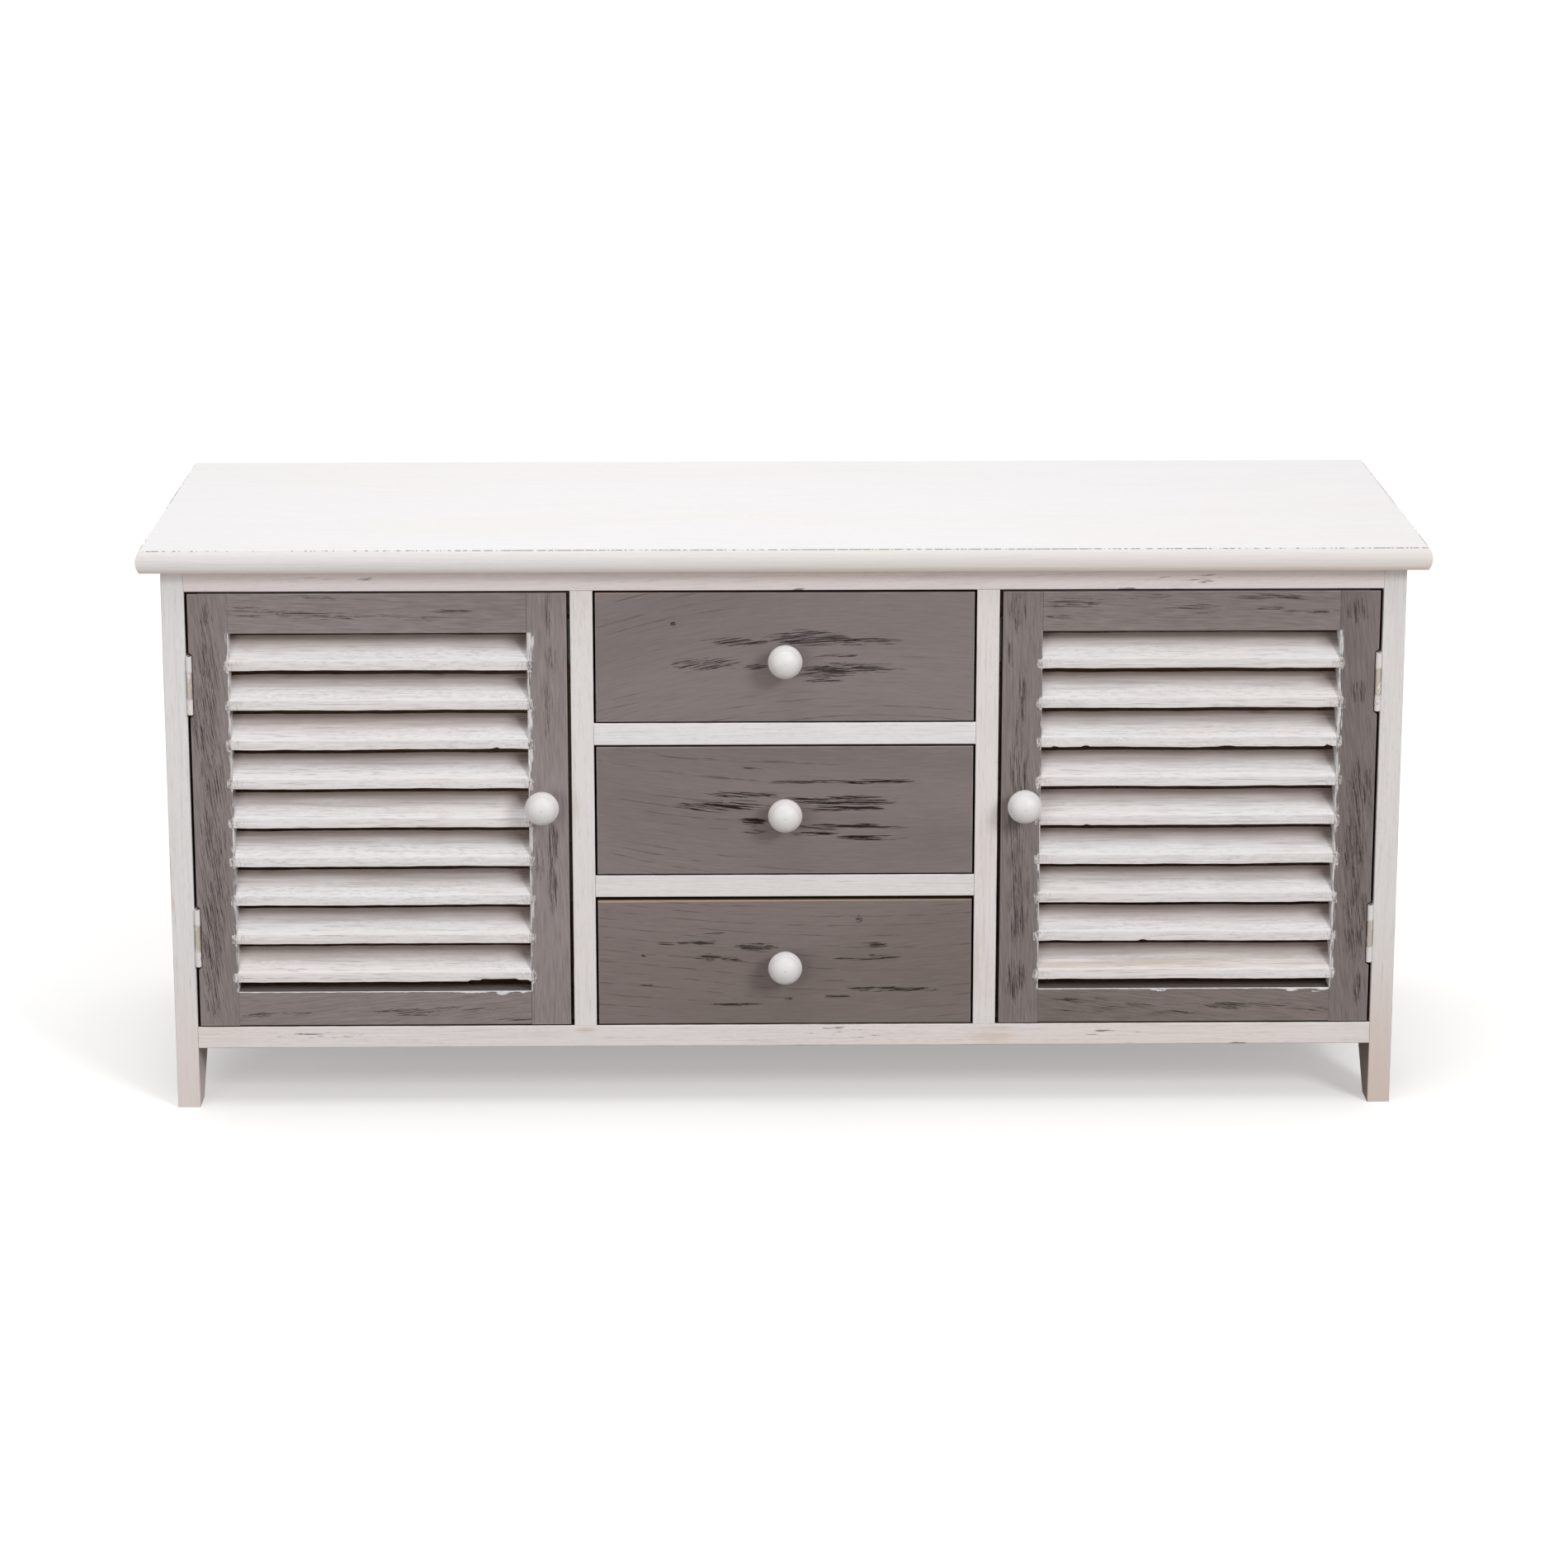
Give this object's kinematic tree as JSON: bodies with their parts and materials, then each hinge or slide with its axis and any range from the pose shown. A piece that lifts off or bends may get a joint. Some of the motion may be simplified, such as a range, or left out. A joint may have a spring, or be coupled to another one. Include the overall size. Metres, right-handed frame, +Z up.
{
  "type": "louvred door cabinet",
  "caption": "Long low painted wooden cabinet: a hinged louvred door on either side of a stack of drawers with ball knobs, under a bull-nosed top.",
  "frame": {"origin": "on the floor, at the middle of the whole cabinet, knobs included", "axes": "+X to the right seen from the front, -Y towards the front, +Z up"},
  "size_m": [0.9, 0.3294, 0.411],
  "materials": {
    "white_paint": "matt whitewash, worn at the edges",
    "grey_paint": "matt warm grey paint, rubbed through",
    "knob_paint": "satin white paint",
    "bare_wood": "bare, planed",
    "plywood": "bare, sanded",
    "hinge_paint": "white paint, chipped",
    "zinc": "zinc plated",
    "catch_plastic": "moulded"
  },
  "bodies": {
    "carcase": {"top_panel": "white_paint", "left_side_panel": "white_paint", "right_side_panel": "white_paint", "bottom_panel": "white_paint", "back_panel": "plywood", "left_divider": "white_paint", "right_divider": "white_paint", "top_front_rail": "white_paint", "top_back_rail": "bare_wood", "upper_drawer_rail": "white_paint", "lower_drawer_rail": "white_paint", "drawer_runners": "bare_wood", "hinge_frame_leaves": "hinge_paint", "hinge_pins": "zinc", "hinge_frame_screws": "zinc", "door_catches": "catch_plastic", "back_panel_nails": "zinc", "carcase_dowels": "bare_wood", "top_screws": "zinc"},
    "left_door": {"left_door_hinge_stile": "grey_paint", "left_door_lock_stile": "grey_paint", "left_door_top_rail": "grey_paint", "left_door_bottom_rail": "grey_paint", "left_door_slats": "white_paint", "left_door_knob": "knob_paint", "left_door_knob_screw": "zinc", "left_door_hinge_leaves": "hinge_paint", "left_door_hinge_screws": "zinc", "left_door_strike_plate": "zinc"},
    "right_door": {"right_door_hinge_stile": "grey_paint", "right_door_lock_stile": "grey_paint", "right_door_top_rail": "grey_paint", "right_door_bottom_rail": "grey_paint", "right_door_slats": "white_paint", "right_door_knob": "knob_paint", "right_door_knob_screw": "zinc", "right_door_hinge_leaves": "hinge_paint", "right_door_hinge_screws": "zinc", "right_door_strike_plate": "zinc"},
    "top_drawer": {"top_drawer_front": "grey_paint", "top_drawer_left_side": "bare_wood", "top_drawer_right_side": "bare_wood", "top_drawer_back": "bare_wood", "top_drawer_bottom": "plywood", "top_drawer_knob": "knob_paint", "top_drawer_knob_screw": "zinc"},
    "middle_drawer": {"middle_drawer_front": "grey_paint", "middle_drawer_left_side": "bare_wood", "middle_drawer_right_side": "bare_wood", "middle_drawer_back": "bare_wood", "middle_drawer_bottom": "plywood", "middle_drawer_knob": "knob_paint", "middle_drawer_knob_screw": "zinc"},
    "bottom_drawer": {"bottom_drawer_front": "grey_paint", "bottom_drawer_left_side": "bare_wood", "bottom_drawer_right_side": "bare_wood", "bottom_drawer_back": "bare_wood", "bottom_drawer_bottom": "plywood", "bottom_drawer_knob": "knob_paint", "bottom_drawer_knob_screw": "zinc"}
  },
  "joints": [
    {"name": "left_door_hinge", "type": "hinge", "parent": "carcase", "child": "left_door", "pos_m": [-0.4168, -0.14077, 0.2195], "axis": [0, 0, -1], "range_deg": [0, 180]},
    {"name": "right_door_hinge", "type": "hinge", "parent": "carcase", "child": "right_door", "pos_m": [0.4168, -0.14077, 0.2195], "axis": [0, 0, 1], "range_deg": [0, 180]},
    {"name": "top_drawer_slide", "type": "slide", "parent": "carcase", "child": "top_drawer", "axis": [0, -1, 0], "range_m": [0, 0.2]},
    {"name": "middle_drawer_slide", "type": "slide", "parent": "carcase", "child": "middle_drawer", "axis": [0, -1, 0], "range_m": [0, 0.2]},
    {"name": "bottom_drawer_slide", "type": "slide", "parent": "carcase", "child": "bottom_drawer", "axis": [0, -1, 0], "range_m": [0, 0.2]}
  ]
}
